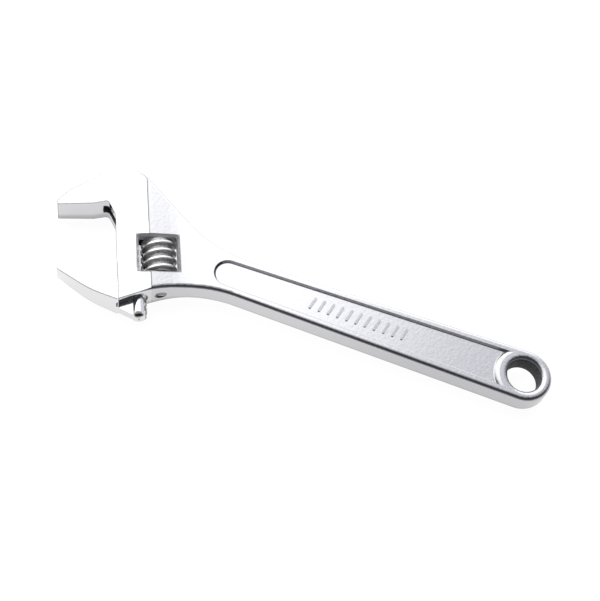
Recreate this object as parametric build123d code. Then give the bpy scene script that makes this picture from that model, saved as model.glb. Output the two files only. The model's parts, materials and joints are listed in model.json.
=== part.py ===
"""Adjustable wrench, 250 mm, shown with its jaws fully open.

Working frame: the hanging hole's axis is Z, the wrench's middle plane is z = 0, and X runs along the
handle with the head at -X. The jaws are turned by JAW_ANGLE, so the head has its own frame (u, v, z):
u = 0 is the throat wall and points towards the handle, v = 0 is the fixed jaw's gripping face and +v
points into that jaw. All sizes are in millimetres. The parts are written in the row frame, whose
origin is the middle of the whole wrench's box in X and Y, at its lowest point.
"""

import os
from math import asin, atan, cos, degrees, hypot, pi, radians, sin, tan

from build123d import *

# Head and jaws
JAW_ANGLE = 22.5
HEAD_ORIGIN = (-211.5, 15.4)
JAW_OPENING = 33.3
JAW_LENGTH = 27.5
HEAD_THICKNESS = 15.4
JAW_TIP_THICKNESS = 13.8
JAW_TAPER_START = -4.0
RELIEF_START, RELIEF_PEAK, RELIEF_DEPTH, RELIEF_END = -10.4, -3.3, 1.3, -6.6

# Forged outline: corner points of the head in (u, v) with the radius of each corner
NOSE, NOSE_RADIUS = (-27.6, 2.2), 1.2
BROW, BROW_RADIUS = (-21.8, 8.0), 8.0
CROWN, CROWN_RADIUS = (8.6, 24.6), 17.0
LOWER_NECK, LOWER_NECK_RADIUS = (31.5, -42.0), 62.0
LOWER_NECK_RISE = 18.2
UPPER_NECK_FALL, UPPER_NECK_RADIUS = 29.4, 62.0

# Handle
HANDLE_THICKNESS = 11.8
END_RADIUS = 13.4
WIDENING = 0.0195
HOLE_RADIUS = 8.1
HOLE_RIM = 2.4
EDGE_RADIUS = 2.2
FORGED_HEAD_THICKNESS = 16.8
GROUND_LINE_U = 15.5
GROUND_STEP = 0.25
NECK_SLOPE_END_U = 31.0
PROFILE_BLEND = 80.0

# Sunk panel on both faces of the handle
PANEL_DEPTH = 1.4
PANEL_DRAFT = 30.0
PANEL_HEAD_X = -148.6
PANEL_HEAD_RADIUS = 6.95
PANEL_END_X = -20.0
PANEL_END_HALF_WIDTH = 9.35
RING_TOP_RADIUS, RING_FOOT_RADIUS = 12.0, 14.8
PANEL_FLOOR_BLEND = 0.5

# Raised marks on the panel's floor: a plain row of slanted bars
MARK_COUNT = 11
MARK_FIRST_X, MARK_SPACING = -106.0, 4.6
MARK_LENGTH, MARK_WIDTH, MARK_HEIGHT, MARK_SLANT = 6.6, 1.1, 0.5, 14.0

# Worm and its window
WINDOW_U = (10.25, 28.85)
WINDOW_V = (-36.7, -18.3)
WINDOW_CORNER = 1.4
WINDOW_CHAMFER = 1.2
WORM_U = 20.0
WORM_RADIUS = 8.4
WORM_END_GAP = 0.4
WORM_CREST_V = -21.8
PITCH = 4.3
CREST_WIDTH = 1.15
THREAD_DEPTH = 2.0
FLANK_ANGLE = 15.0
WORM_CHAMFER = 0.6

# Worm pin and spring
PIN_RADIUS = 2.3
PIN_HEAD_RADIUS = 2.75
PIN_BLIND_DEPTH = 6.0
PIN_END_V = -46.0
PIN_SHOULDER = 2.0
PIN_SLOT_WIDTH, PIN_SLOT_DEPTH = 0.8, 1.0
RUNNING_GAP = 0.05
THREADED_GAP = 0.03
SPRING_WIRE_RADIUS = 0.35
SPRING_MEAN_RADIUS = 3.1
SPRING_TURNS = 6.5
COUNTERBORE_RADIUS = 3.9
COUNTERBORE_DEPTH = 9.0

# Movable jaw with its rack bar, in (u, v) at the open position
BAR_U = 9.5
BAR_RADIUS = 3.85
BAR_V = (-58.9, -20.6)
BAR_CHAMFER = 0.9
BAR_DIMPLE_RADIUS, BAR_DIMPLE_DEPTH = 1.5, 1.0
BORE_GAP = 0.1
BORE_TOP_V = 13.4
BORE_MOUTH_V, BORE_MOUTH_GROWTH = -47.2, 1.0
WEB_THICKNESS = 5.5
SLOT_GAP = 0.2
SLOT_TOP_V = -3.5
SLOT_RUNOUT, SLOT_RUNOUT_RADIUS = (-2.2, -1.6), 4.3
WEB_TOP = (-41.5, -38.0)
WEB_BOTTOM = (-53.6, -57.9)
THROAT_GAP = 0.25
MOVABLE_TIP_THICKNESS = 9.8
MOVABLE_NOSE, MOVABLE_NOSE_RADIUS = (-28.2, -34.0), 0.8
MOVABLE_BELLY, MOVABLE_BELLY_RADIUS = (-13.0, -46.1), 45.0
MOVABLE_HEEL_V = -52.3
MOVABLE_CORNER_U, MOVABLE_CORNER_V = -4.4, -41.1
MOVABLE_EDGE_RADIUS = 0.5
TOOTH_TIP_WIDTH = 1.95
TOOTH_DEPTH = 1.85

BIG = 200.0
HEAD = Location((*HEAD_ORIGIN, 0), (0, 0, JAW_ANGLE))


def from_head(u, v):
    """The point of the working frame that lies at (u, v) in the head's frame."""
    a = radians(JAW_ANGLE)
    return (HEAD_ORIGIN[0] + u * cos(a) - v * sin(a), HEAD_ORIGIN[1] + u * sin(a) + v * cos(a))


def prism(points, half_height):
    """A straight block over a closed polygon, from -half_height to +half_height in z."""
    return extrude(make_face(Polyline(*points, close=True)), half_height, both=True)


def crossing(p, p_angle, q, q_angle):
    """Where the line through p at p_angle meets the line through q at q_angle (degrees)."""
    a, b = radians(p_angle), radians(q_angle)
    t = ((q[0] - p[0]) * sin(b) - (q[1] - p[1]) * cos(b)) / (cos(a) * sin(b) - sin(a) * cos(b))
    return (p[0] + t * cos(a), p[1] + t * sin(a))


def neck_slope():
    """The neck's slope in degrees, from the step at the ground line down to the handle."""
    fall = (HEAD_THICKNESS - HANDLE_THICKNESS) / 2 + GROUND_STEP
    return degrees(atan(fall / (NECK_SLOPE_END_U - GROUND_LINE_U - GROUND_STEP)))


def side_profile():
    """Everything inside the forging's thickness: thick head, sloping neck, thinner handle."""
    head_z, handle_z = FORGED_HEAD_THICKNESS / 2, HANDLE_THICKNESS / 2
    shoulder_u = NECK_SLOPE_END_U - (head_z - handle_z) / tan(radians(neck_slope()))
    top = [(-BIG, head_z), (shoulder_u, head_z), (NECK_SLOPE_END_U, handle_z), (2 * BIG, handle_z)]
    upper = FilletPolyline(*top, radius=[PROFILE_BLEND, PROFILE_BLEND])
    lower = upper.mirror(Plane.XZ)
    ends = [Line((x, z), (x, -z)) for x, z in (top[0], top[-1])]
    face = make_face(Curve() + [upper, lower, *ends])
    return HEAD * extrude(Plane.XZ * face, 2 * BIG, both=True)


def outline():
    """The forging's outline, with the jaw mouth still filled in."""
    edge_tilt = degrees(atan(WIDENING))
    touch = (-END_RADIUS * sin(radians(edge_tilt)), END_RADIUS * cos(radians(edge_tilt)))
    crown = from_head(*CROWN)
    upper_neck = crossing(crown, -UPPER_NECK_FALL, touch, edge_tilt)
    lower_neck = crossing(from_head(*LOWER_NECK), LOWER_NECK_RISE + JAW_ANGLE,
                          (touch[0], -touch[1]), -edge_tilt)
    heel = crossing(lower_neck, LOWER_NECK_RISE + JAW_ANGLE, from_head(-6, 0), 90 + JAW_ANGLE)
    corners = [
        (from_head(-27.6, -3), 0),
        (from_head(*NOSE), NOSE_RADIUS),
        (from_head(*BROW), BROW_RADIUS),
        (crown, CROWN_RADIUS),
        (upper_neck, UPPER_NECK_RADIUS),
        (touch, 0),
        ((touch[0], -touch[1]), 0),
        (lower_neck, LOWER_NECK_RADIUS),
        (heel, 0),
    ]
    path = FilletPolyline(*[p for p, _ in corners], radius=[r for _, r in corners], close=True)
    return make_face(path) + Circle(END_RADIUS)


def forging_blank():
    """Head, neck and handle with every outer edge rounded, before any machining."""
    blank = extrude(outline(), BIG / 10, both=True) & side_profile()
    walls = blank.faces().filter_by(lambda f: abs(f.normal_at().Z) < 0.1)
    tops = blank.faces().filter_by(lambda f: abs(f.normal_at().Z) > 0.9)
    wall_edges = {hash(e) for f in walls for e in f.edges()}
    rim = [e for f in tops for e in f.edges() if hash(e) in wall_edges]
    return fillet(rim, EDGE_RADIUS)


def ground_faces(taper_start, tip_thickness):
    """The space between the ground faces: tapered left of taper_start, a small step at the ground line."""
    root_z = HEAD_THICKNESS / 2
    taper = (root_z - tip_thickness / 2) / (JAW_LENGTH + taper_start)
    far_u = -60.0
    far_z = root_z + taper * (far_u - taper_start)
    step_u, step_z = GROUND_LINE_U + GROUND_STEP, root_z + GROUND_STEP
    half = [(far_u, far_z), (taper_start, root_z), (GROUND_LINE_U, root_z), (step_u, step_z),
            (2 * BIG, step_z)]
    face = make_face(Polyline(*half, *[(u, -z) for u, z in reversed(half)], close=True))
    return extrude(Plane.XZ * face, 2 * BIG, both=True)


def mouth():
    """The space between the jaws, with the relief cut at the fixed jaw's root."""
    start = (RELIEF_START, 0)
    peak = (RELIEF_PEAK, RELIEF_DEPTH)
    end = (0, RELIEF_END)
    points = [(-60, 0), start, peak, end, (0, -80), (-60, -80)]
    path = FilletPolyline(*points, radius=[0, 3.0, 2.2, 3.0, 0, 0], close=True)
    return HEAD * extrude(make_face(path), 20, both=True)


def bar_channel():
    """Keyhole channel for the rack bar and its web, open at the head's lower edge."""
    radius = BAR_RADIUS + BORE_GAP
    low_v = -75.0
    bore = Pos(BAR_U, low_v, 0) * Rot(X=-90) * Cylinder(
        radius, BORE_TOP_V - low_v, align=(Align.CENTER, Align.CENTER, Align.MIN))
    mouth_length = 8.0
    cone = Pos(BAR_U, BORE_MOUTH_V, 0) * Rot(X=90) * Cone(
        radius, radius + BORE_MOUTH_GROWTH * mouth_length / 2, mouth_length,
        align=(Align.CENTER, Align.CENTER, Align.MIN))
    slot = Pos(BAR_U / 2 - 2, (SLOT_TOP_V + low_v) / 2, 0) * Box(
        BAR_U + 4, SLOT_TOP_V - low_v, WEB_THICKNESS + 2 * SLOT_GAP)
    runout = Pos(*SLOT_RUNOUT, 0) * Cylinder(SLOT_RUNOUT_RADIUS, WEB_THICKNESS + 2 * SLOT_GAP)
    return HEAD * (bore + cone + slot + runout)


def window():
    """The square window that the worm sits in, chamfered on both faces."""
    width, height = WINDOW_U[1] - WINDOW_U[0], WINDOW_V[1] - WINDOW_V[0]
    middle = (sum(WINDOW_U) / 2, sum(WINDOW_V) / 2)
    grow = 2 * WINDOW_CHAMFER
    rim = RectangleRounded(width + grow, height + grow, WINDOW_CORNER + WINDOW_CHAMFER)
    cutter = extrude(rim, -WINDOW_CHAMFER, taper=45) + extrude(rim, 1)
    head_side = Pos(GROUND_LINE_U - BIG / 2, 0, 0) * Box(BIG, BIG, BIG)
    neck_side = Pos(GROUND_LINE_U + BIG / 2, 0, 0) * Box(BIG, BIG, BIG)
    slope = Pos(GROUND_LINE_U, 0, HEAD_THICKNESS / 2 + GROUND_STEP) * Rot(Y=neck_slope())
    on_face = Pos(*middle, HEAD_THICKNESS / 2) * cutter & head_side
    on_slope = (slope * Pos(middle[0] - GROUND_LINE_U, middle[1], 0) * cutter) & neck_side
    mouth = on_face + on_slope
    through = Pos(*middle, 0) * extrude(RectangleRounded(width, height, WINDOW_CORNER), 20, both=True)
    return HEAD * (through + mouth + mouth.mirror(Plane.XY))


def pin_holes():
    """Through hole in the lower bridge for the pin's head, blind hole in the upper wall."""
    low_v, top_v = -60.0, WINDOW_V[1] + PIN_BLIND_DEPTH + 0.3
    wide = PIN_HEAD_RADIUS + THREADED_GAP
    narrow = PIN_RADIUS + THREADED_GAP
    shoulder_v = WINDOW_V[0] - PIN_SHOULDER
    axis = Pos(WORM_U, 0, 0) * Rot(X=-90)
    start = (Align.CENTER, Align.CENTER, Align.MIN)
    hole = axis * Pos(0, 0, low_v) * Cylinder(wide, shoulder_v - low_v, align=start)
    hole += axis * Pos(0, 0, low_v) * Cylinder(narrow, top_v - low_v, align=start)
    return HEAD * hole


def panel_recess(side):
    """The sunk panel on one face: round at the head's end, hollowed round the hole at the other."""
    head_end = (PANEL_HEAD_X, 0)
    run = PANEL_END_X - PANEL_HEAD_X
    tilt = asin((PANEL_END_HALF_WIDTH - PANEL_HEAD_RADIUS) / run)
    start = (PANEL_HEAD_X - PANEL_HEAD_RADIUS * sin(tilt), PANEL_HEAD_RADIUS * cos(tilt))
    end = (0, start[1] + tan(tilt) * (0 - start[0]))
    shape = make_face(Polyline(start, end, (end[0], -end[1]), (start[0], -start[1]), close=True))
    shape += Pos(*head_end) * Circle(PANEL_HEAD_RADIUS)
    top = HANDLE_THICKNESS / 2
    cut = extrude(Pos(0, 0, top) * shape, -PANEL_DEPTH, taper=PANEL_DRAFT)
    cut -= ring_boss()
    floor = cut.faces().sort_by(Axis.Z)[0]
    cut = fillet(floor.edges(), PANEL_FLOOR_BLEND)
    return cut if side > 0 else cut.mirror(Plane.XY)


def ring_boss():
    """What stays standing round the hole: its side swells out to the panel's floor."""
    top, floor = HANDLE_THICKNESS / 2, HANDLE_THICKNESS / 2 - PANEL_DEPTH
    swell = RING_FOOT_RADIUS - 0.3 * (RING_FOOT_RADIUS - RING_TOP_RADIUS)
    side = ThreePointArc((RING_TOP_RADIUS, top), (swell, top - 0.4 * PANEL_DEPTH), (RING_FOOT_RADIUS, floor))
    rest = Polyline((RING_FOOT_RADIUS, floor), (RING_FOOT_RADIUS, floor - 1), (0, floor - 1), (0, top + 1),
                    (RING_TOP_RADIUS, top + 1), (RING_TOP_RADIUS, top))
    return revolve(Plane.XZ * make_face(Curve() + [side, rest]), Axis.Z)


def marks():
    """A generic raised row of slanted bars on the upper panel."""
    floor = HANDLE_THICKNESS / 2 - PANEL_DEPTH
    bar = extrude(SlotOverall(MARK_LENGTH, MARK_WIDTH), MARK_HEIGHT + 0.3)
    row = Part()
    for i in range(MARK_COUNT):
        row += Pos(MARK_FIRST_X + i * MARK_SPACING, 0, floor - 0.3) * Rot(Z=90 - MARK_SLANT) * bar
    return row


def body_forging():
    """Handle and fixed jaw, finished."""
    body = forging_blank() & (HEAD * ground_faces(JAW_TAPER_START, JAW_TIP_THICKNESS))
    body -= mouth()
    body -= window()
    body -= bar_channel()
    body -= pin_holes()
    body -= panel_recess(1)
    body -= panel_recess(-1)
    body += marks()
    hole = Cylinder(HOLE_RADIUS, 40)
    body -= hole
    rims = body.edges().filter_by(GeomType.CIRCLE).filter_by(
        lambda e: abs(e.radius - HOLE_RADIUS) < 1e-3 and hypot(e.arc_center.X, e.arc_center.Y) < 1e-2)
    return fillet(rims, HOLE_RIM)


def along_v(u):
    """Turns a shape built along +Z so that it runs along +v at this u; its -Y side faces up."""
    return Pos(u, 0, 0) * Rot(X=-90)


def rod(radius, low_v, high_v):
    """A cylinder along Z from low_v to high_v."""
    return Pos(0, 0, low_v) * Cylinder(radius, high_v - low_v, align=(Align.CENTER, Align.CENTER, Align.MIN))


def jaw_block():
    """The movable jaw's block, tapered to its tip, with a bowed and rounded outer edge."""
    grip_v, back_u, past_v = -JAW_OPENING, -THROAT_GAP, -JAW_OPENING + 10
    belly = FilletPolyline(MOVABLE_NOSE, MOVABLE_BELLY, (back_u, MOVABLE_HEEL_V), radius=MOVABLE_BELLY_RADIUS)
    rest = Polyline((back_u, MOVABLE_HEEL_V), (back_u, past_v), (MOVABLE_NOSE[0], past_v), MOVABLE_NOSE)
    face = make_face(Curve() + [belly, rest])
    nose = face.vertices().sort_by_distance((*MOVABLE_NOSE, 0))[0]
    face = fillet(nose, MOVABLE_NOSE_RADIUS)
    block = extrude(face, HEAD_THICKNESS, both=True) & ground_faces(-THROAT_GAP, MOVABLE_TIP_THICKNESS)
    flats = block.faces().filter_by(lambda f: abs(f.normal_at().Z) > 0.9)
    outer = [e for f in flats for e in f.edges() if e.center().Y < past_v - 0.1 and e.center().X < -1]
    block = fillet(outer, MOVABLE_EDGE_RADIUS)
    above = [(-60, grip_v), (MOVABLE_CORNER_U, grip_v), (back_u, MOVABLE_CORNER_V), (20, MOVABLE_CORNER_V),
             (20, 20), (-60, 20)]
    path = FilletPolyline(*above, radius=[0, 1.5, 2.5, 0, 0, 0], close=True)
    return block - extrude(make_face(path), 20, both=True)


def rack_bar():
    """Round bar that carries the rack, chamfered at both ends and centre-drilled below."""
    low_v, high_v = BAR_V
    bar = rod(BAR_RADIUS, low_v, high_v)
    bar = chamfer(bar.edges().filter_by(GeomType.CIRCLE), BAR_CHAMFER)
    return along_v(BAR_U) * bar


def rack_gaps():
    """The spaces between the rack's teeth, slanted by the worm's lead so that the two mesh."""
    mesh_radius = WORM_RADIUS - THREAD_DEPTH / 2
    rise = PITCH / (2 * pi * mesh_radius)
    tip_u, flank = BAR_U + BAR_RADIUS, tan(radians(FLANK_ANGLE))
    tip_gap = (PITCH - TOOTH_TIP_WIDTH) / 2
    deep, out = TOOTH_DEPTH, 1.0
    gap = [(tip_u + out, tip_gap + out * flank), (tip_u - deep, tip_gap - deep * flank),
           (tip_u - deep, -tip_gap + deep * flank), (tip_u + out, -tip_gap - out * flank)]
    cutter = extrude(make_face(Polyline(*gap, close=True)), 2 * BAR_RADIUS, dir=(0, rise, 1), both=True)
    first_v = WORM_CREST_V - PITCH / 4
    count = int((first_v - BAR_V[0]) / PITCH) + 1
    return [Pos(0, first_v - i * PITCH, 0) * cutter for i in range(count)]


def movable_jaw():
    """Jaw block, web and rack bar in one piece."""
    join_u = BAR_U - BAR_RADIUS + 1.0
    web = [(-1, WEB_TOP[0]), (join_u, WEB_TOP[1]), (BAR_U, WEB_TOP[1]), (BAR_U, WEB_BOTTOM[1]),
           (join_u, WEB_BOTTOM[1]), (-1, WEB_BOTTOM[0])]
    jaw = jaw_block() + prism(web, WEB_THICKNESS / 2) + rack_bar()
    jaw -= along_v(BAR_U) * Pos(0, 0, BAR_V[0]) * Cone(
        BAR_DIMPLE_RADIUS, 0, BAR_DIMPLE_DEPTH, align=(Align.CENTER, Align.CENTER, Align.MIN))
    for gap in rack_gaps():
        jaw -= gap
    return HEAD * jaw


def worm():
    """Thumb worm: right-hand thread on a core bored for the pin and counterbored for the spring."""
    low_v, high_v = WINDOW_V[0] + WORM_END_GAP, WINDOW_V[1] - WORM_END_GAP
    root = WORM_RADIUS - THREAD_DEPTH
    sunk, proud = 0.3, 0.3
    flank = tan(radians(FLANK_ANGLE))
    base, tip = CREST_WIDTH / 2 + (THREAD_DEPTH + sunk) * flank, CREST_WIDTH / 2 - proud * flank
    turns = int((high_v - low_v) / PITCH) + 3
    start_v = WORM_CREST_V - 0.75 * PITCH - (turns - 2) * PITCH
    section = [(root - sunk, 0, -base), (WORM_RADIUS + proud, 0, -tip), (WORM_RADIUS + proud, 0, tip),
               (root - sunk, 0, base)]
    helix = Helix(PITCH, turns * PITCH, root)
    thread = sweep(make_face(Polyline(*section, close=True)), path=helix, is_frenet=True)
    turned = rod(WORM_RADIUS, low_v, high_v)
    far = 8 * PITCH
    screw = Pos(0, 0, start_v) * thread + rod(root, low_v - far, high_v + far)
    screw &= Pos(0, 0, (low_v + high_v) / 2) * Box(BIG, BIG, high_v - low_v)
    screw &= rod(WORM_RADIUS, low_v - far, high_v + far)
    screw &= chamfer(turned.edges().filter_by(GeomType.CIRCLE), WORM_CHAMFER)
    screw -= rod(PIN_RADIUS + RUNNING_GAP, low_v - 1, high_v + 1)
    screw -= rod(COUNTERBORE_RADIUS, high_v - COUNTERBORE_DEPTH, high_v + 1)
    return HEAD * (along_v(WORM_U) * screw)


def worm_pin():
    """The worm's axle: slotted head in the lower bridge, plain shank, end in the blind hole."""
    top_v = WINDOW_V[1] + PIN_BLIND_DEPTH
    head_top_v = WINDOW_V[0] - PIN_SHOULDER - THREADED_GAP
    pin = rod(PIN_RADIUS, PIN_END_V, top_v)
    pin += rod(PIN_HEAD_RADIUS, PIN_END_V, head_top_v)
    pin -= Pos(0, 0, PIN_END_V) * Box(2 * PIN_HEAD_RADIUS + 1, PIN_SLOT_WIDTH, 2 * PIN_SLOT_DEPTH)
    return HEAD * (along_v(WORM_U) * pin)


def worm_spring():
    """Compression spring between the worm's counterbore and the window's upper wall."""
    gap = 0.05
    high_v = WINDOW_V[1] - gap
    low_v = WINDOW_V[1] - WORM_END_GAP - COUNTERBORE_DEPTH + gap
    length = high_v - low_v
    helix = Helix(length / SPRING_TURNS, length, SPRING_MEAN_RADIUS)
    wire = Plane(origin=helix @ 0, z_dir=helix % 0) * Circle(SPRING_WIRE_RADIUS)
    coil = sweep(wire, path=helix, is_frenet=True)
    coil = (Pos(0, 0, low_v) * coil) & rod(SPRING_MEAN_RADIUS + 1, low_v, high_v)
    return HEAD * (along_v(WORM_U) * coil)


if __name__ == "__main__":
    os.makedirs("parts", exist_ok=True)
    nodes = {
        "body_forging": body_forging(),
        "movable_jaw": movable_jaw(),
        "worm": worm(),
        "worm_pin": worm_pin(),
        "worm_spring": worm_spring(),
    }
    boxes = [shape.bounding_box() for shape in nodes.values()]
    low = [min(tuple(b.min)[i] for b in boxes) for i in range(3)]
    high = [max(tuple(b.max)[i] for b in boxes) for i in range(3)]
    to_row = Pos(-(low[0] + high[0]) / 2, -(low[1] + high[1]) / 2, -low[2])
    for name, shape in nodes.items():
        export_step(to_row * shape, f"parts/{name}.step")
        print(name, "solids", len(shape.solids()), "volume", round(shape.volume), shape.bounding_box())
    print("working frame's origin in the row frame:", to_row.position)
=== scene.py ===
"""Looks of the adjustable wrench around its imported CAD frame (Blender 4.5, metres, row frame)."""

import json
import math

import bmesh
import bpy
import numpy as np
from mathutils import Matrix, Vector


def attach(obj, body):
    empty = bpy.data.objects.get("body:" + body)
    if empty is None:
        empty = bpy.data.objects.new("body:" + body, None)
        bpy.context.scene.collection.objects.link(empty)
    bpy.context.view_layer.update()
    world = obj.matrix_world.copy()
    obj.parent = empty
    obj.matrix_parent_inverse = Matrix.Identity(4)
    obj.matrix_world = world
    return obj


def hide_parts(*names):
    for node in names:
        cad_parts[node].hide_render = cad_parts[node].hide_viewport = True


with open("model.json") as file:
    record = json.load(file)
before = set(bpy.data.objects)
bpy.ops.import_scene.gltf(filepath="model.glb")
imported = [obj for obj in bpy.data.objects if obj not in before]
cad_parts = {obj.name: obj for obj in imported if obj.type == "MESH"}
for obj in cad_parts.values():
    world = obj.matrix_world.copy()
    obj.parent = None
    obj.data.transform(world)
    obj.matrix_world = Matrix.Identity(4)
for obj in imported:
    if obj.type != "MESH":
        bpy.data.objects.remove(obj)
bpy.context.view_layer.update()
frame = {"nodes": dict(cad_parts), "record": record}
NODES = frame["nodes"]
MM = 0.001

# The head's own frame: u runs from the throat towards the handle, v into the fixed jaw
HOLE = Vector(next(m for m in frame["record"]["mounts"] if m["name"] == "hang_hole")["pos_m"])
JAW_ANGLE = math.radians(22.5)
THROAT = HOLE + Vector((-211.5, 15.4, 0)) * MM
U_AXIS = Vector((math.cos(JAW_ANGLE), math.sin(JAW_ANGLE), 0))
V_AXIS = Vector((-math.sin(JAW_ANGLE), math.cos(JAW_ANGLE), 0))

# The camera: turns about X, Y and Z, then an offset from the hole in the camera's own axes
CAMERA_TURN_DEG = (-27.4615, 7.7397, -17.3735)
CAMERA_OFFSET_MM = (105.698, -37.699, -620.065)
LENS_MM, SENSOR_MM = 77.87, 36.0

# Places on the forging in millimetres: (u, v) in the head, (x, y) from the hole, heights from the middle
GROUND_END_U, NECK_END_U, PANEL_FROM_U = 15.5, 60.0, 30.0
THROAT_MIDDLE_V, THROAT_CLEAR_RADIUS = -16.6, 16.0
PANEL_FLOOR, MARK_TOP, HANDLE_TOP = 4.5, 5.0, 5.9
PANEL_REACH, PANEL_REACH_GROWTH, RING_CLEAR_RADIUS = 11.0, 0.0195, 15.0
MARKS_X, MARKS_HALF_LENGTH, MARKS_HALF_HEIGHT = -83.0, 28.0, 4.4
WINDOW_U, WINDOW_HALF_U, WINDOW_V, WINDOW_HALF_V = 19.55, 10.4, -27.5, 10.3
HOLE_EDGE_RADIUS = 8.2
BORE_U, BORE_EDGE_RADIUS = 9.5, 4.15
SLOT_END_U, SLOT_HALF_WIDTH, SLOT_TOP_V = -3.0, 2.75, 3.1
DARK_REFLECTION_U, DARK_REFLECTION_V, DARK_REFLECTION_HEIGHT, RACK_U, RACK_TOP_V = 9.0, -58.2, 3.2, 12.6, -20.0

# The worm, in the head's millimetres
WORM_U = 20.0
WORM_RADIUS, WORM_BORE, WORM_COUNTERBORE, COUNTERBORE_DEPTH = 8.4, 2.35, 3.9, 9.0
WORM_ENDS = (-36.3, -18.7)
WORM_CREST_V, PITCH, CREST_WIDTH, THREAD_DEPTH, FLANK_DEG = -21.8, 4.3, 1.15, 2.0, 15.0
CREST_TURN, CREST_ROUNDING, ROOT_ROUNDING, WORM_CHAMFER = 0.75, 0.35, 0.25, 0.6
POINTS_AROUND, RINGS_ALONG = 200, 240

# The stage and the light
FLOOR_HALF_SIZE, FLOOR_TONE, FLOOR_GLOW = 3.0, 0.22, 0.92
KEY_DIRECTION = Vector((-0.25, 0.75, 0.6)).normalized()
KEY_EDGE, KEY_STRENGTH = (0.30, 0.72), 2.0
KEY_COLOUR, KEY_FALL_COLOUR = (1.0, 1.0, 1.0, 1), (0.40, 0.405, 0.445, 1)
FALL_ACROSS, FALL_EDGE = (1, -0.6, 0), (-0.33, -0.12)
ROOM_COLOUR, ROOM_STRENGTH, HORIZON_STRENGTH = (0.95, 0.96, 1.0, 1), 0.05, 0.5


# ---------------------------------------------------------------- shader nodes
class Nodes:
    """Short calls for building one node tree."""

    def __init__(self, tree):
        self.tree = tree

    def add(self, kind, inputs=None, **settings):
        node = self.tree.nodes.new(kind)
        for name, value in settings.items():
            setattr(node, name, value)
        for name, value in (inputs or {}).items():
            self.put(node.inputs[name], value)
        return node

    def put(self, socket, value):
        if isinstance(value, bpy.types.NodeSocket):
            self.tree.links.new(value, socket)
        else:
            socket.default_value = value

    def math(self, operation, a, b=0.0, c=0.0):
        return self.add("ShaderNodeMath", {0: a, 1: b, 2: c}, operation=operation).outputs[0]

    def dot(self, vector, axis):
        node = self.add("ShaderNodeVectorMath", {0: vector, 1: axis}, operation="DOT_PRODUCT")
        return node.outputs["Value"]

    def step(self, value, low, high):
        """0 below low, 1 above high, smooth in between; low may be the larger one."""
        node = self.add("ShaderNodeMapRange", {"Value": value, "From Min": low, "From Max": high},
                        interpolation_type="SMOOTHSTEP")
        return node.outputs[0]

    def band(self, value, middle, half, soft):
        """1 within half of middle, 0 further away, over a soft edge."""
        away = self.math("ABSOLUTE", self.math("SUBTRACT", value, middle))
        return self.step(away, half + soft, half)

    def all(self, *masks):
        product = masks[0]
        for mask in masks[1:]:
            product = self.math("MULTIPLY", product, mask)
        return product

    def radius(self, a, b):
        return self.math("SQRT", self.math("MULTIPLY_ADD", a, a, self.math("MULTIPLY", b, b)))

    def mix(self, factor, a, b):
        node = self.add("ShaderNodeMix", {0: factor}, data_type="RGBA")
        self.put(node.inputs[6], a)
        self.put(node.inputs[7], b)
        return node.outputs[2]

    def blend(self, factor, a, b):
        node = self.add("ShaderNodeMix", {0: factor, 2: a, 3: b}, data_type="FLOAT")
        return node.outputs[0]

    def noise(self, place, scale, detail=2.0, roughness=0.5):
        node = self.add("ShaderNodeTexNoise", {"Vector": place, "Scale": scale, "Detail": detail,
                                               "Roughness": roughness})
        return node.outputs[0]


def material(name):
    """A new material with a Principled shader: the material, its Nodes and the shader."""
    mat = bpy.data.materials.new(name)
    mat.use_nodes = True
    mat.node_tree.nodes.clear()
    nodes = Nodes(mat.node_tree)
    shader = nodes.add("ShaderNodeBsdfPrincipled", {"Metallic": 1.0})
    nodes.add("ShaderNodeOutputMaterial", {0: shader.outputs[0]})
    return mat, nodes, shader


def head_place(nodes):
    """Object coordinates, and the same as (u, v, height above the middle plane) in millimetres."""
    place = nodes.add("ShaderNodeTexCoord").outputs["Object"]
    offset = nodes.add("ShaderNodeVectorMath", {0: place, 1: THROAT}, operation="SUBTRACT").outputs[0]
    return (place, nodes.dot(offset, U_AXIS / MM), nodes.dot(offset, V_AXIS / MM),
            nodes.dot(offset, (0, 0, 1 / MM)))


def hole_place(nodes, place):
    """Millimetres along the handle, across it, and away from the hole's axis."""
    offset = nodes.add("ShaderNodeVectorMath", {0: place, 1: HOLE}, operation="SUBTRACT").outputs[0]
    x, y = nodes.dot(offset, (1 / MM, 0, 0)), nodes.dot(offset, (0, 1 / MM, 0))
    return x, y, nodes.radius(x, y)


def paint(obj, mat):
    obj.data.materials.clear()
    obj.data.materials.append(mat)


# ---------------------------------------------------------------- camera, stage and light
def add_camera():
    data = bpy.data.cameras.new("camera")
    data.sensor_width = SENSOR_MM
    data.lens = LENS_MM
    data.clip_start, data.clip_end = 0.01, 20.0
    camera = bpy.data.objects.new("camera", data)
    bpy.context.scene.collection.objects.link(camera)
    turn = Matrix.Identity(4)
    for angle, axis in zip(CAMERA_TURN_DEG, "XYZ"):
        turn = turn @ Matrix.Rotation(math.radians(angle), 4, axis)
    to_camera = Matrix.Translation(Vector(CAMERA_OFFSET_MM) * MM) @ turn
    camera.matrix_world = Matrix.Translation(HOLE) @ to_camera.inverted()
    bpy.context.scene.camera = camera


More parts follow.
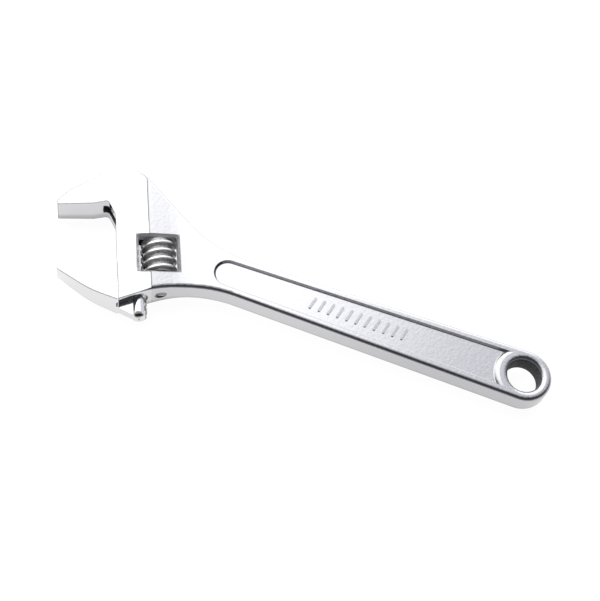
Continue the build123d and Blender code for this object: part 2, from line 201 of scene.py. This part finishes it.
def add_floor():
    """A plain pale floor that lights itself a little, so that shadows on it stay faint."""
    half = FLOOR_HALF_SIZE
    mesh = bpy.data.meshes.new("floor")
    mesh.from_pydata([(-half, -half, 0), (half, -half, 0), (half, half, 0), (-half, half, 0)], [],
                     [(0, 1, 2, 3)])
    floor = bpy.data.objects.new("floor", mesh)
    bpy.context.scene.collection.objects.link(floor)
    mat, nodes, shader = material("pale_floor")
    shader.inputs["Metallic"].default_value = 0.0
    shader.inputs["Base Color"].default_value = (FLOOR_TONE, FLOOR_TONE, FLOOR_TONE, 1)
    shader.inputs["Roughness"].default_value = 0.9
    shader.inputs["Specular IOR Level"].default_value = 0.1
    shader.inputs["Emission Color"].default_value = (1, 1, 1, 1)
    shader.inputs["Emission Strength"].default_value = FLOOR_GLOW
    paint(floor, mat)


def add_world():
    """A studio: one very large soft key over the far side, a dark room behind the camera."""
    world = bpy.data.worlds.new("studio")
    bpy.context.scene.world = world
    world.use_nodes = True
    world.node_tree.nodes.clear()
    n = Nodes(world.node_tree)
    direction = n.add("ShaderNodeTexCoord").outputs["Generated"]
    key = n.math("MULTIPLY", n.step(n.dot(direction, KEY_DIRECTION), *KEY_EDGE), KEY_STRENGTH)
    tint = n.mix(n.step(n.dot(direction, FALL_ACROSS), *FALL_EDGE), KEY_COLOUR, KEY_FALL_COLOUR)
    level = n.math("SUBTRACT", 1.0, n.math("ABSOLUTE", n.dot(direction, (0, 0, 1))))
    base = n.math("MULTIPLY_ADD", n.math("POWER", level, 4.0), HORIZON_STRENGTH, ROOM_STRENGTH)
    key_light = n.add("ShaderNodeBackground", {"Color": tint, "Strength": key})
    room = n.add("ShaderNodeBackground", {"Color": ROOM_COLOUR, "Strength": base})
    total = n.add("ShaderNodeAddShader", {0: key_light.outputs[0], 1: room.outputs[0]})
    n.add("ShaderNodeOutputWorld", {0: total.outputs[0]})


# ---------------------------------------------------------------- materials
def tinted(nodes, tone, tint=(1.0, 1.0, 1.03, 1)):
    return nodes.mix(tone, (0, 0, 0, 1), tint)


class Spot:
    """Where a point of the forging is, in millimetres, and how its surface faces."""

    def __init__(self, n):
        self.place, self.u, self.v, self.h = head_place(n)
        self.x, self.y, self.from_hole = hole_place(n, self.place)
        self.height = n.math("ABSOLUTE", self.h)
        self.normal = n.add("ShaderNodeNewGeometry").outputs["Normal"]
        self.facing_up = n.math("ABSOLUTE", n.dot(self.normal, (0, 0, 1)))
        self.mottle = n.noise(self.place, 1100, 5, 0.7)
        self.ground = n.step(self.u, GROUND_END_U + 0.1, GROUND_END_U - 0.1)


def forged_and_ground(n, s):
    """Satin skin that darkens towards the hole, painted shade low on each side wall and along the ground
    face's end, and the polished head.
    """
    skin = n.blend(n.step(s.u, NECK_END_U, GROUND_END_U + 0.5), 0.60, 0.56)
    skin = n.math("MULTIPLY", skin, n.math("MULTIPLY_ADD", s.mottle, 0.16, 0.92))
    skin = n.math("MULTIPLY", skin, n.blend(n.step(s.x, -130.0, -30.0), 1.0, 0.84))
    tone = n.blend(s.ground, skin, 0.64)
    # Painted shade: the lower part of each side wall is darkened as contact shade.
    low_wall_shade = n.all(n.step(s.h, -2.0, -5.8), n.step(s.facing_up, 0.9, 0.5))
    tone = n.blend(low_wall_shade, tone, n.math("MULTIPLY", tone, 0.66))
    # Painted shade: a thin dark line along the crease where the ground face ends.
    ground_crease_shade = n.all(n.band(s.u, GROUND_END_U + 0.1, 0.3, 0.15), n.step(s.height, 7.0, 7.4))
    return n.blend(ground_crease_shade, tone, 0.40)


def painted_outline_masks(n, s):
    """Masks for painted dark outlines: all narrow edges, and those of the ground head away from its
    throat.
    """
    bevel = n.add("ShaderNodeBevel", {"Radius": 0.0008}, samples=4).outputs[0]
    edge = n.step(n.dot(bevel, s.normal), 0.995, 0.96)
    from_throat = n.radius(s.u, n.math("SUBTRACT", s.v, THROAT_MIDDLE_V))
    outside = n.step(from_throat, THROAT_CLEAR_RADIUS, THROAT_CLEAR_RADIUS + 1)
    return edge, n.all(edge, s.ground, outside)


def sunk_panel(n, s, tone):
    """Painted shade on the wall faces round the handle's panel and on the sides of the raised marks on
    its floor, whose tops are darker.
    """
    reach = n.math("MULTIPLY_ADD", s.x, PANEL_REACH_GROWTH, PANEL_REACH)
    past_reach = n.math("SUBTRACT", n.math("ABSOLUTE", s.y), reach)
    panel = n.all(n.step(past_reach, 0.2, 0.0), n.step(s.height, PANEL_FLOOR - 0.1, PANEL_FLOOR + 0.1),
                  n.step(s.height, HANDLE_TOP + 0.05, HANDLE_TOP - 0.05),
                  n.step(s.from_hole, RING_CLEAR_RADIUS, RING_CLEAR_RADIUS + 0.4),
                  n.step(s.u, PANEL_FROM_U, PANEL_FROM_U + 1))
    upper, lower = n.step(s.y, -1.0, 1.0), n.step(s.y, 1.0, -1.0)
    # Painted shade: the panel's wall faces and the sides of the marks are darkened, those of the marks
    # most.
    panel_wall_shade = n.math("MAXIMUM", n.all(n.step(s.facing_up, 0.90, 0.80), upper),
                   n.all(n.step(s.facing_up, 0.995, 0.95), lower))
    middle = n.band(s.y, 0.0, MARKS_HALF_HEIGHT, 0.2)
    tone = n.blend(n.all(panel_wall_shade, panel), tone, n.blend(middle, 0.5, 0.15))
    mark_tops = n.all(middle, panel, n.band(s.x, MARKS_X, MARKS_HALF_LENGTH, 0.5),
                      n.step(s.height, MARK_TOP - 0.25, MARK_TOP - 0.05))
    return n.blend(mark_tops, tone, 0.40)


def window_mask(n, s):
    return n.all(n.band(s.u, WINDOW_U, WINDOW_HALF_U, 0.1), n.band(s.v, WINDOW_V, WINDOW_HALF_V, 0.1))


def milled_window_painted_light(n, s):
    """Mottled milling marks, with painted light: the faces towards the handle and towards the lower edge
    are painted lighter than the others.
    """
    # Painted light: faces turned towards the handle or the lower edge take the lighter tone.
    turned = n.math("MAXIMUM", n.step(n.dot(s.normal, tuple(U_AXIS)), 0.2, 0.6),
                    n.step(n.dot(s.normal, tuple(-V_AXIS)), 0.2, 0.6))
    return n.math("MULTIPLY_ADD", s.mottle, 0.50, n.blend(turned, 0.12, 0.42))


def channel_mask(n, s):
    """The rack bar's round bore and the slot that opens it to the throat."""
    from_bore = n.radius(n.math("SUBTRACT", s.u, BORE_U), s.h)
    bore = n.step(from_bore, BORE_EDGE_RADIUS + 0.2, BORE_EDGE_RADIUS)
    past_end = n.math("MINIMUM", n.math("SUBTRACT", s.u, SLOT_END_U), 0.0)
    slot = n.all(n.step(n.radius(past_end, s.h), SLOT_HALF_WIDTH + 0.4, SLOT_HALF_WIDTH),
                 n.step(s.u, BORE_U - 0.1, BORE_U - 0.3), n.step(s.v, SLOT_TOP_V + 0.2, SLOT_TOP_V))
    return n.math("MAXIMUM", bore, slot)


def forging_material():
    """Ground and polished head, satin forged handle, milled window with painted light, dark bores with
    painted shade, painted dark outlines on the edges and painted light on the throat wall.
    """
    mat, n, shader = material("forging")
    s = Spot(n)
    edge, ground_painted_outline = painted_outline_masks(n, s)
    # Painted shade: narrow edges are darkened into outlines, darkest and matte on the ground head.
    tone = n.blend(edge, forged_and_ground(n, s), n.blend(ground_painted_outline, 0.46, 0.15))
    # Painted light: the throat wall that faces the mouth is painted near white.
    throat = n.all(n.step(n.dot(s.normal, tuple(-U_AXIS)), 0.9, 0.98), n.band(s.v, -25.0, 15.0, 2.0),
                   s.ground)
    tone = sunk_panel(n, s, n.blend(throat, tone, 0.98))

    window, channel = window_mask(n, s), channel_mask(n, s)
    hole = n.step(s.from_hole, HOLE_EDGE_RADIUS + 0.4, HOLE_EDGE_RADIUS)
    tone = n.blend(window, tone, milled_window_painted_light(n, s))
    # Painted shade: the inside of the hang hole is darkened, mottled.
    tone = n.blend(hole, tone, n.math("MULTIPLY_ADD", s.mottle, 0.28, -0.04))
    # The bar's bore: bare dark steel with painted shade, black towards its lower mouth.
    bore_steel_and_shade = n.blend(n.step(s.v, -42.0, -46.0), 0.03, n.math("MULTIPLY_ADD", s.mottle, 0.5, -0.10))
    n.put(shader.inputs["Base Color"], tinted(n, n.blend(channel, tone, bore_steel_and_shade)))

    metal = n.blend(n.math("MAXIMUM", hole, channel), n.blend(window, 1.0, 0.35), 0.1)
    n.put(shader.inputs["Metallic"], n.blend(ground_painted_outline, metal, 0.0))
    shader.inputs["Specular IOR Level"].default_value = 0.0
    rough = n.math("MULTIPLY_ADD", s.mottle, 0.10, n.blend(s.ground, 0.20, 0.10))
    n.put(shader.inputs["Roughness"], n.blend(ground_painted_outline, rough, 0.9))
    peel = n.noise(s.place, 650, 3, 0.6)
    bump = n.add("ShaderNodeBump", {"Strength": n.blend(s.ground, 0.5, 0.05), "Distance": 0.00012,
                                    "Height": peel})
    n.put(shader.inputs["Normal"], bump.outputs[0])
    return mat


def jaw_material():
    """Ground and polished jaw: a matte pale upper edge as painted highlight, a painted dark reflection on
    the bar's end, a painted shade line on the lower edge, mottled teeth.
    """
    mat, n, shader = material("jaw")
    place, u, v, h = head_place(n)
    mottle = n.noise(place, 1300, 4, 0.6)
    on_block = n.step(u, 0.2, -0.2)
    tone = n.blend(on_block, 0.72, 0.76)
    # Painted reflection: a dark spot on the chamfer at the bar's end.
    spot = n.radius(n.math("SUBTRACT", u, DARK_REFLECTION_U), n.math("SUBTRACT", h, DARK_REFLECTION_HEIGHT))
    from_dark_reflection = n.radius(spot, n.math("SUBTRACT", v, DARK_REFLECTION_V))
    tone = n.blend(n.step(from_dark_reflection, 2.4, 1.2), tone, 0.12)
    # Painted shade: a darker line along the block's lower edge.
    above_lower_edge = n.math("MULTIPLY_ADD", u, 0.103, n.math("ADD", h, 7.7))
    lower_edge_shade = n.all(n.step(above_lower_edge, 1.0, 0.5), n.band(u, -12.0, 10.5, 4.0))
    tone = n.blend(lower_edge_shade, tone, 0.45)
    teeth = n.all(n.step(u, RACK_U - 0.6, RACK_U), n.step(v, RACK_TOP_V + 1, RACK_TOP_V))
    tone = n.blend(teeth, tone, n.math("MULTIPLY_ADD", mottle, 0.5, 0.05))
    # Painted highlight: the block's rounded upper edge is made matte and pale, so it reads bright.
    facing_up = n.dot(n.add("ShaderNodeNewGeometry").outputs["Normal"], (0, 0, 1))
    top_edge_painted_highlight = n.all(on_block, n.step(facing_up, 0.985, 0.95), n.step(facing_up, 0.02, 0.05))
    tone = n.blend(top_edge_painted_highlight, tone, 0.75)
    n.put(shader.inputs["Metallic"], n.blend(top_edge_painted_highlight, 1.0, 0.0))
    n.put(shader.inputs["Base Color"], tinted(n, tone, (1, 1, 1.01, 1)))
    n.put(shader.inputs["Roughness"], n.math("MULTIPLY_ADD", mottle, 0.06, 0.12))
    return mat


def worm_material():
    """Bright satin crests over dark, mottled grooves of bare steel with painted shade."""
    mat, n, shader = material("worm")
    place, u, v, h = head_place(n)
    from_axis = n.radius(n.math("SUBTRACT", u, WORM_U), h)
    crest = n.step(from_axis, WORM_RADIUS - 0.4, WORM_RADIUS - 0.05)
    mottle = n.noise(place, 1500, 5, 0.75)
    # Painted shade in the grooves, over their darker bare steel, mottled.
    groove_steel_and_shade = n.math("MULTIPLY_ADD", n.step(mottle, 0.30, 0.62), 0.55, 0.14)
    n.put(shader.inputs["Base Color"], tinted(n, n.blend(crest, groove_steel_and_shade, 0.88), (1, 0.99, 0.98, 1)))
    n.put(shader.inputs["Metallic"], n.blend(crest, 0.65, 1.0))
    n.put(shader.inputs["Roughness"], n.blend(crest, 0.42, 0.30))
    bump = n.add("ShaderNodeBump", {"Strength": 0.3, "Distance": 0.00015, "Height": mottle})
    n.put(shader.inputs["Normal"], bump.outputs[0])
    return mat


def steel_material(name, tone):
    """Plain turned or drawn steel."""
    mat, n, shader = material(name)
    place = n.add("ShaderNodeTexCoord").outputs["Object"]
    mottle = n.noise(place, 1800, 3, 0.6)
    n.put(shader.inputs["Base Color"], tinted(n, n.math("MULTIPLY_ADD", mottle, 0.2, tone - 0.1)))
    shader.inputs["Roughness"].default_value = 0.32
    return mat


# ---------------------------------------------------------------- the worm in detail
def soft_floor(value, rounding):
    """max(value, 0) with a rounded corner."""
    return (value + np.sqrt(value * value + rounding * rounding)) / 2


def worm_rings():
    """(radii, v) of each ring round the worm: along the thread, then back through its bore."""
    low, high = WORM_ENDS
    angle = np.linspace(0, 2 * math.pi, POINTS_AROUND, endpoint=False)
    rings = []
    for v in np.linspace(low, high, RINGS_ALONG):
        turn = (v - WORM_CREST_V) / PITCH - (angle / (2 * math.pi) - CREST_TURN)
        past_crest = PITCH * np.abs(turn - np.round(turn)) - CREST_WIDTH / 2
        radii = WORM_RADIUS - soft_floor(past_crest / math.tan(math.radians(FLANK_DEG)), CREST_ROUNDING)
        root = WORM_RADIUS - THREAD_DEPTH
        radii = root + soft_floor(radii - root, ROOT_ROUNDING)
        radii = np.minimum(radii, WORM_RADIUS - WORM_CHAMFER + min(v - low, high - v))
        rings.append((radii, v))
    step_v = high - COUNTERBORE_DEPTH
    inside = ((WORM_COUNTERBORE, high), (WORM_COUNTERBORE, step_v), (WORM_BORE, step_v), (WORM_BORE, low))
    rings += [(np.full(len(angle), r), v) for r, v in inside]
    return angle, rings


def detailed_worm():
    """The worm with rounded crests and roots, in the place of its CAD node."""
    angle, rings = worm_rings()
    outward = np.outer(np.cos(angle), U_AXIS) + np.outer(-np.sin(angle), (0, 0, 1))
    centre = np.array(THROAT) + np.array(U_AXIS) * WORM_U * MM
    points = np.concatenate([centre + np.array(V_AXIS) * v * MM + outward * (radii[:, None] * MM)
                             for radii, v in rings])
    around, along = len(angle), len(rings)
    faces = []
    for j in range(along):
        below, above = j * around, (j + 1) % along * around
        for i in range(around):
            k = (i + 1) % around
            faces.append((below + i, below + k, above + k, above + i))
    mesh = bpy.data.meshes.new("worm_detailed")
    mesh.from_pydata(points.tolist(), [], faces)
    turned = bmesh.new()
    turned.from_mesh(mesh)
    bmesh.ops.recalc_face_normals(turned, faces=turned.faces)
    turned.to_mesh(mesh)
    turned.free()
    mesh.shade_smooth()
    mesh.set_sharp_from_angle(angle=math.radians(50))
    piece = bpy.data.objects.new("worm_detailed", mesh)
    bpy.context.scene.collection.objects.link(piece)
    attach(piece, "worm")
    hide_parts("worm")
    return piece


add_camera()
add_floor()
add_world()

worm_look = worm_material()
paint(NODES["body_forging"], forging_material())
paint(NODES["movable_jaw"], jaw_material())
paint(NODES["worm"], worm_look)
paint(NODES["worm_pin"], steel_material("pin", 0.42))
paint(NODES["worm_spring"], steel_material("spring", 0.35))
paint(detailed_worm(), worm_look)

bpy.context.scene.view_settings.view_transform = "Standard"
